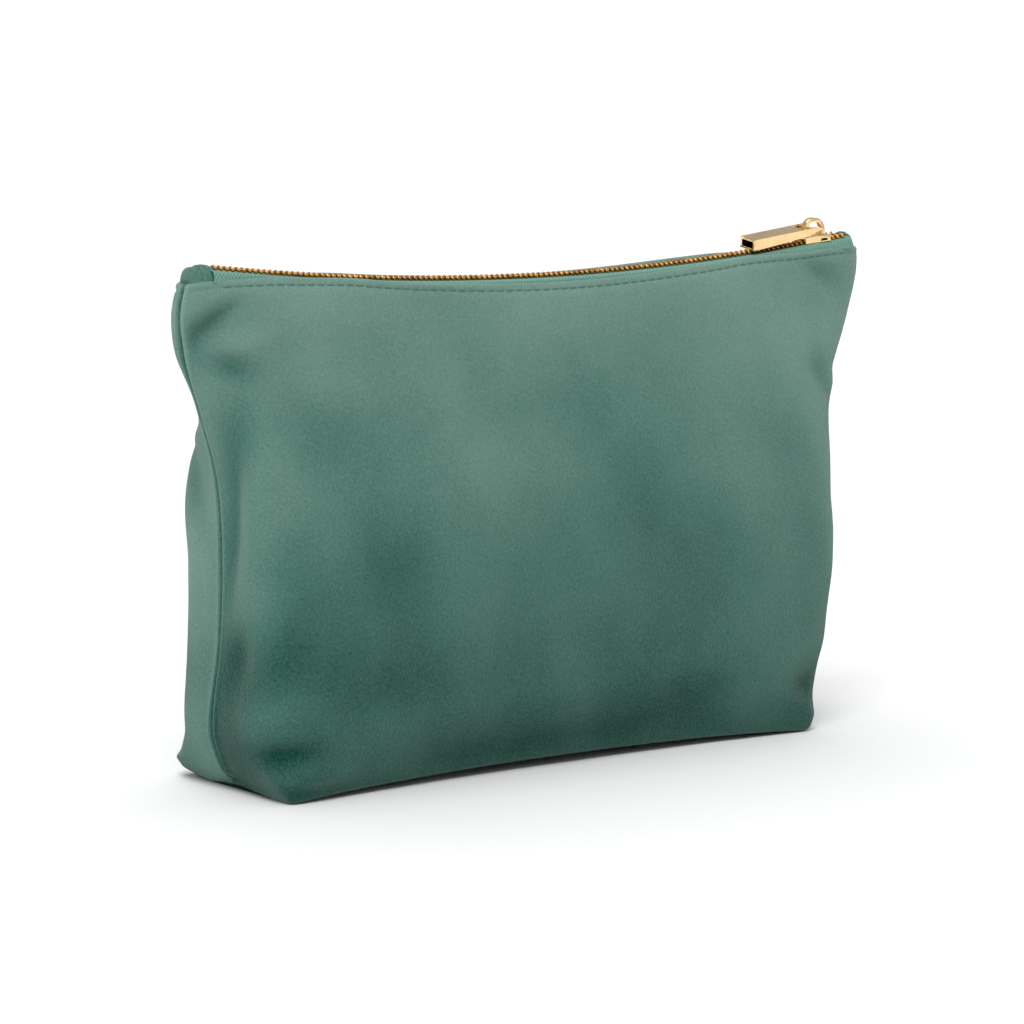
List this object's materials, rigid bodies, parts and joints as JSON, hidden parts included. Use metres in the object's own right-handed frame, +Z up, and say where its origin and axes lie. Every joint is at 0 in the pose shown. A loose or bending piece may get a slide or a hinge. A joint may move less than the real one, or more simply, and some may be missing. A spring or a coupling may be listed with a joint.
{
  "type": "makeup bag",
  "caption": "Velvet makeup bag with a boxed base, a curved zip between folded end tabs, and a chunky metal zip pull.",
  "frame": {"origin": "middle of the base, on the surface the bag stands on", "axes": "+Z up; the front panel faces -Y; +X runs along the zip towards its closed end, which is on the right seen from the front"},
  "size_m": [0.2516, 0.0705, 0.1593],
  "materials": {
    "velvet": "soft velvet pile",
    "interlining": "felted",
    "lining": "satin weave",
    "zip_tape": "herringbone weave",
    "zip_coil": "metallised orange gold",
    "thread": "twisted thread",
    "gold_metal": "polished pale gold plating"
  },
  "bodies": {
    "base": {"base_panel": "velvet", "base_interlining": "interlining", "base_lining": "lining", "left_corner_seam": "velvet", "right_corner_seam": "velvet", "left_side_seam": "velvet", "right_side_seam": "velvet", "left_end_tab": "velvet", "right_end_tab": "velvet", "left_tab_stitching": "thread", "right_tab_stitching": "thread"},
    "front_wall": {"front_panel": "velvet", "front_interlining": "interlining", "front_lining": "lining", "front_zip_tape": "zip_tape", "front_zip_coil": "zip_coil", "front_coil_cord": "zip_tape", "front_topstitch": "thread"},
    "back_wall": {"back_panel": "velvet", "back_interlining": "interlining", "back_lining": "lining", "back_zip_tape": "zip_tape", "back_zip_coil": "zip_coil", "back_coil_cord": "zip_tape", "back_topstitch": "thread"},
    "slider": {"slider_body": "gold_metal"},
    "pull": {"pull_tube": "gold_metal", "pull_pin": "gold_metal"}
  },
  "joints": [
    {"name": "slider_travel", "type": "hinge", "parent": "base", "child": "slider", "pos_m": [0, -0.0187, 1.06265], "axis": [0, 1, 0], "range_deg": [0, 13.3]},
    {"name": "front_mouth", "type": "hinge", "parent": "base", "child": "front_wall", "pos_m": [0, -0.029, 0.0015], "axis": [1, 0, 0], "range_deg": [0, 9.5], "deforming": ["front_zip_tape", "front_zip_coil", "front_coil_cord"]},
    {"name": "back_mouth", "type": "hinge", "parent": "base", "child": "back_wall", "pos_m": [0, 0.029, 0.0015], "axis": [-1, 0, 0], "range_deg": [0, 9.5], "deforming": ["back_zip_tape", "back_zip_coil", "back_coil_cord"]},
    {"name": "pull_swing", "type": "hinge", "parent": "slider", "child": "pull", "pos_m": [0.10419, -0.0187, 0.15587], "axis": [-0.0898, 0.9792, 0.1818], "range_deg": [0, 165]}
  ],
  "couplings": [
    {"joint": "front_mouth", "follows": "slider_travel", "ratio": 0.7},
    {"joint": "back_mouth", "follows": "slider_travel", "ratio": 0.7}
  ]
}
